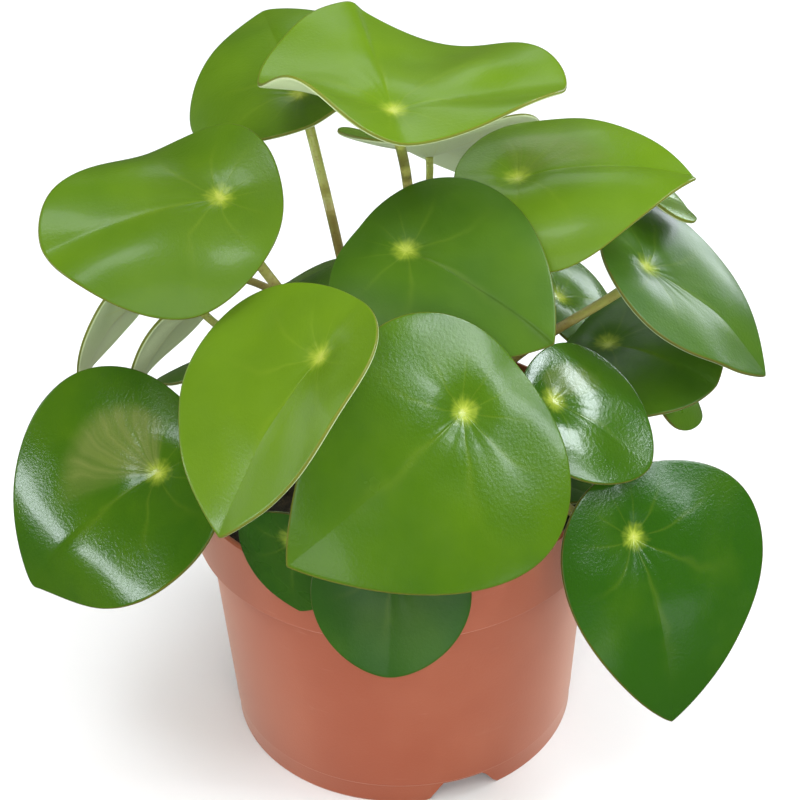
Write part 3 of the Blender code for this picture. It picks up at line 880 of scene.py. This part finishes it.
def soil_wall():
    """Radii and heights of the soil's outside, from above the collar's step to the floor."""
    step = POT_HEIGHT - COLLAR_HEIGHT
    floor = FOOT_HEIGHT + FLOOR_THICKNESS + GAP
    return (
        (COLLAR_LOWER_RADIUS - WALL - GAP, step + WALL + GAP),
        (body_radius(step) - WALL - GAP, step - WALL + GAP),
        (body_radius(floor) - WALL - GAP, floor + FLOOR_FILLET),
        (body_radius(floor) - WALL - GAP - FLOOR_FILLET, floor),
    )


def close_below(bm):
    """Draw the surface's rim down inside the pot's wall, and close it at the floor."""
    rim = [edge for edge in bm.edges if edge.is_boundary]
    for radius, height in soil_wall():
        grown = bmesh.ops.extrude_edge_only(bm, edges=rim)
        for vert in new_verts(grown):
            outward = Vector((vert.co.x, vert.co.y, 0)).normalized() * radius * MM
            vert.co = outward + mm(0, 0, height)
        rim = [item for item in grown["geom"]
               if isinstance(item, bmesh.types.BMEdge) and item.is_boundary]
    bmesh.ops.contextual_create(bm, geom=rim)
    bmesh.ops.recalc_face_normals(bm, faces=bm.faces)


def add_clods(bm, radius):
    """Loose clods that lie on the surface."""
    draw = random.Random(CLOD_SEED)
    for _ in range(CLOD_COUNT):
        away = radius * math.sqrt(draw.random()) * CLOD_REACH
        azimuth = draw.uniform(0, math.tau)
        x = away * math.cos(azimuth)
        y = away * math.sin(azimuth)
        size = draw.uniform(*CLOD_SIZES)
        place = mm(x, y, soil_height(x, y, radius))
        made = bmesh.ops.create_icosphere(bm, subdivisions=1, radius=size * MM,
                                          matrix=Matrix.Translation(place))
        for vert in made["verts"]:
            vert.co += (vert.co - place) * noise.noise(vert.co / MM) * CLOD_ROUGHNESS


def build_soil():
    """Loose potting soil that fills the pot to below its rim."""
    bm = bmesh.new()
    radius = soil_radius()
    lay_surface(bm, radius)
    close_below(bm)
    add_clods(bm, radius)
    place_piece(bm, "soil_loose", "soil", soil_material())


# Blades

def blade_frame(leaf):
    """Unit vectors towards the tip, towards the left edge and out of the upper face."""
    heading, pitch, roll = (math.radians(a) for a in (leaf.heading, leaf.pitch, leaf.roll))
    ahead = Vector((math.cos(heading) * math.cos(pitch), math.sin(heading) * math.cos(pitch),
                    math.sin(pitch)))
    level = Vector((-math.sin(heading), math.cos(heading), 0))
    upright_normal = ahead.cross(level)
    left = level * math.cos(roll) + upright_normal * math.sin(roll)
    return ahead, left, ahead.cross(left)


def teardrop_peak(point):
    """The greatest value of sin(t) * sin(t/2) ** point."""
    cosine = 1 / math.sqrt(2 + point)
    sine = math.sqrt(1 - cosine ** 2)
    return 2 * cosine * sine ** (1 + point)


def blade_outline(leaf, turn):
    """How far the edge lies along and across the midrib, `turn` round from the tip."""
    along = leaf.length * ((math.cos(turn) + 1) / 2 - SPOT_SETBACK)
    across = math.sin(turn) * abs(math.sin(turn / 2)) ** leaf.point / teardrop_peak(leaf.point)
    across *= leaf.width / 2
    side = 1 + leaf.skew if across > 0 else 1 - leaf.skew
    return along, across * side


def bend(distance, length, total):
    """Run, drop and slope after `distance` along a strip that curves down by `total`."""
    run = 0.0
    drop = 0.0
    for sample in range(BEND_SAMPLES):
        share = distance * (sample + 0.5) / BEND_SAMPLES / length
        run += math.cos(total * share ** BEND_POWER)
        drop += math.sin(total * share ** BEND_POWER)
    step = distance / BEND_SAMPLES
    return run * step, drop * step, total * (distance / length) ** BEND_POWER


def edge_share(away):
    """How much of a lift is felt at an angle `away` from its middle: 1 there, fading to 0."""
    share = math.remainder(away, math.tau) / math.radians(LIFT_BREADTH)
    return math.cos(share * math.pi / 2) ** 2 if abs(share) < 1 else 0.0


def surface_detail(along, across, reach, turn, seed):
    """Soft unevenness, and fine pleats that run out from the spot."""
    place = Vector((along, across, seed)) / RIPPLE_LENGTH
    ripple = noise.noise(place) * RIPPLE_HEIGHT * min(reach * RIPPLE_ONSET, 1)
    direction = Vector((math.cos(turn), math.sin(turn), 0)) * PLEAT_COUNT / math.tau
    pleat = noise.noise(direction + Vector((0, 0, seed))) * PLEAT_HEIGHT
    pleat *= max(0.0, 1 - reach * PLEAT_FADING) * min(reach * PLEAT_ONSET, 1)
    return ripple + pleat


def blade_point(leaf, reach, turn, seed):
    """A point of the upper face: `reach` is 0 at the stalk and 1 at the edge."""
    along, across = (reach * part for part in blade_outline(leaf, turn))
    keel = math.radians(KEEL_ANGLE)
    wing = leaf.wings[0] if across > 0 else leaf.wings[1]
    run, drop = bend(abs(across), leaf.width / 2, math.radians(wing))[:2]
    side = math.copysign(run * math.cos(keel) + drop * math.sin(keel), across)
    lift = run * math.sin(keel) - drop * math.cos(keel)
    for place, height in leaf.lifts:
        lift += reach ** 2 * height * edge_share(turn - math.radians(place))

    tipwards = along >= 0
    strip = leaf.length * (1 - SPOT_SETBACK if tipwards else SPOT_SETBACK)
    droop = leaf.droop[0] if tipwards else leaf.droop[1]
    run, drop, slope = bend(abs(along), strip, math.radians(droop))
    forward = math.copysign(run + lift * math.sin(slope), along)
    rise = lift * math.cos(slope) - drop
    rise -= DIMPLE_DEPTH * math.exp(-(math.hypot(along, across) / DIMPLE_RADIUS) ** 2)
    rise += surface_detail(along, across, reach, turn, seed)

    ahead, left, normal = blade_frame(leaf)
    return Vector(leaf.spot) + ahead * forward + left * side + normal * rise


def draw_plan(bm, leaf):
    """Keep each point's place on the flat blade, for the leaf's markings."""
    reach_layer = bm.verts.layers.float.new("reach")
    plan_layer = bm.loops.layers.uv.new("plan")
    for vert in bm.verts:
        vert[reach_layer] = math.hypot(vert.co.x, vert.co.y)
    for face in bm.faces:
        for loop in face.loops:
            x, y = loop.vert.co.xy
            reach = math.hypot(x, y)
            along, across = blade_outline(leaf, math.atan2(y, x))
            loop[plan_layer].uv = (along * reach / PLAN_UNIT, across * reach / PLAN_UNIT)


def add_underside(bm):
    """Give an open sheet its thickness downwards, and mark the new side."""
    under = bm.verts.layers.float.new("underside")
    down = bm.verts.layers.float_vector.new("down")
    bm.normal_update()
    for vert in bm.verts:
        vert[down] = -vert.normal
    grown = bmesh.ops.extrude_face_region(bm, geom=list(bm.faces), use_keep_orig=True)
    for vert in new_verts(grown):
        vert.co += vert[down] * BLADE_THICKNESS * MM
        vert[under] = 1
    bm.verts.layers.float_vector.remove(down)
    bmesh.ops.recalc_face_normals(bm, faces=bm.faces)


def build_blade(leaf, seed, tissue):
    """A fleshy blade: its upper face, an underside and a rounded edge."""
    bm = bmesh.new()
    reaches = [ring / BLADE_RINGS for ring in range(1, BLADE_RINGS)] + [MARGIN_RING, 1]
    wheel(bm, BLADE_SPOKES, reaches)
    draw_plan(bm, leaf)
    for vert in bm.verts:
        x, y = vert.co.xy
        vert.co = blade_point(leaf, math.hypot(x, y), math.atan2(y, x), seed) * MM
    add_underside(bm)
    blade = place_piece(bm, f"blade_{leaf.name}", f"leaf_{leaf.name}",
                        leaf_material(leaf, tissue))
    add_smoothing(blade)


# Stems and stalks

def stalk_route(leaf):
    """Points from the leaf's stem up to the underside of its blade."""
    normal = blade_frame(leaf)[2]
    tip = Vector(leaf.spot) - normal * (DIMPLE_DEPTH + BLADE_THICKNESS)
    end = tip - normal * STALK_RADIUS
    axis = Vector((*STEMS[leaf.stem], STEM_TOP))
    outward = Vector((end.x - axis.x, end.y - axis.y, 0)).normalized()
    start = axis + outward * STALK_SPREAD - Vector((0, 0, STEM_RADIUS))
    span_length = (end - start).length
    lower = start + Vector((0, 0, 1)) * span_length * leaf.rise
    upper = end - normal * span_length * leaf.arrive
    sway = Vector(leaf.sway)
    route = []
    for i in range(STALK_STEPS):
        t = i / (STALK_STEPS - 1)
        s = 1 - t
        curve = start * s ** 3 + lower * 3 * s * s * t + upper * 3 * s * t * t + end * t ** 3
        route.append(curve + sway * 4 * s * t)
    return route + [tip]


def add_stalk(bm, leaf, layer):
    """One leaf stalk, thicker where it leaves the stem and where it meets the blade."""
    route = stalk_route(leaf)
    radii = []
    for i in range(len(route)):
        share = i / (len(route) - 1)
        foot = STALK_FOOT_SWELL * (1 - share) ** STALK_FOOT_FADING
        tip = STALK_TIP_SWELL * share ** STALK_TIP_FADING
        radii.append(STALK_RADIUS * leaf.stalk * (STALK_SLIMNESS + foot + tip) * MM)
    sweep(bm, [point * MM for point in route], radii, STALK_SIDES, layer)


def add_stem_core(bm, name, layer):
    """The short stem, ringed where old leaves have dropped."""
    route = []
    radii = []
    for i in range(STEM_STEPS + 1):
        share = i / STEM_STEPS
        height = STEM_FOOT + share * (STEM_TOP - STEM_FOOT)
        taper = 1 + (STEM_TAPER - 1) * share
        ring = STEM_RING_DEPTH * (math.cos(math.tau * STEM_RINGS * share) - 1)
        route.append(mm(*STEMS[name], height))
        radii.append((STEM_RADIUS * taper + ring) * MM)
    radii[-1] *= STEM_END
    sweep(bm, route, radii, STEM_SIDES, layer)
    for vert in bm.verts:
        vert[layer] *= STEM_COLOURING


def build_stems(material):
    """The four stems, each with its leaf stalks."""
    for name in STEMS:
        bm = bmesh.new()
        layer = bm.verts.layers.float.new("along")
        add_stem_core(bm, name, layer)
        for leaf in LEAVES:
            if leaf.stem == name:
                add_stalk(bm, leaf, layer)
        bmesh.ops.recalc_face_normals(bm, faces=bm.faces)
        place_piece(bm, f"stalks_{name}", f"stem_{name}", material)


# Studio

def add_camera():
    """The camera, at the photograph's viewing angle."""
    target = mm(*CAMERA_TARGET)
    elevation = math.radians(CAMERA_ELEVATION)
    back = Vector((0, -math.cos(elevation), math.sin(elevation)))
    data = bpy.data.cameras.new("studio camera")
    data.sensor_width = SENSOR_WIDTH
    data.lens = CAMERA_LENS
    camera = bpy.data.objects.new("studio_camera", data)
    bpy.context.scene.collection.objects.link(camera)
    turn = (-back).to_track_quat("-Z", "Y").to_matrix().to_4x4()
    roll = Matrix.Rotation(math.radians(CAMERA_ROLL), 4, "Z")
    camera.matrix_world = Matrix.Translation(target + back * CAMERA_DISTANCE * MM) @ turn @ roll
    bpy.context.scene.camera = camera


def add_light(light):
    """One soft light, turned towards the plant's middle and hidden from the camera."""
    data = bpy.data.lights.new(light.name, "AREA")
    data.shape = "RECTANGLE"
    data.size = light.width * MM
    data.size_y = light.height * MM
    data.energy = light.power
    data.color = light.colour
    lamp = bpy.data.objects.new(light.name, data)
    bpy.context.scene.collection.objects.link(lamp)
    turn = math.radians(light.azimuth)
    rise = math.radians(light.elevation)
    away = Vector((math.sin(turn) * math.cos(rise), -math.cos(turn) * math.cos(rise), math.sin(rise)))
    lamp.location = mm(*CAMERA_TARGET) + away * LIGHT_DISTANCE * MM
    lamp.rotation_mode = "QUATERNION"
    lamp.rotation_quaternion = (-away).to_track_quat("-Z", "Y")
    lamp.visible_camera = False
    lamp.visible_glossy = light.glossy


def add_floor():
    """A pale, dull floor that nothing mirrors."""
    bm = bmesh.new()
    bmesh.ops.create_grid(bm, x_segments=1, y_segments=1, size=FLOOR_REACH * MM)
    mesh = bpy.data.meshes.new("floor")
    bm.to_mesh(mesh)
    bm.free()
    floor = bpy.data.objects.new("studio_floor", mesh)
    bpy.context.scene.collection.objects.link(floor)
    floor.visible_glossy = False
    material, _, shader = new_material("pale floor")
    set_values(shader, {"Base Color": FLOOR_COLOUR, "Roughness": FLOOR_ROUGHNESS})
    mesh.materials.append(material)


def light_surroundings():
    """White surroundings that are much darker where they are mirrored."""
    world = bpy.data.worlds.new("bright studio")
    world.use_nodes = True
    tree = world.node_tree
    mirrored = add_node(tree, "ShaderNodeLightPath").outputs["Is Glossy Ray"]
    background = tree.nodes["Background"]
    background.inputs["Color"].default_value = WHITE
    tree.links.new(span(tree, mirrored, WORLD_LIGHT, WORLD_GLOSS), background.inputs["Strength"])
    bpy.context.scene.world = world


def add_studio():
    """The floor, the surroundings and the lights."""
    add_floor()
    light_surroundings()
    for light in LIGHTS:
        add_light(light)
    bpy.context.scene.view_settings.view_transform = "Standard"


add_camera()
add_studio()
build_pot()
build_soil()
leaf_tissue = make_leaf_group()
for number, each in enumerate(LEAVES):
    build_blade(each, number * SEED_STEP, leaf_tissue)
build_stems(stalk_material())
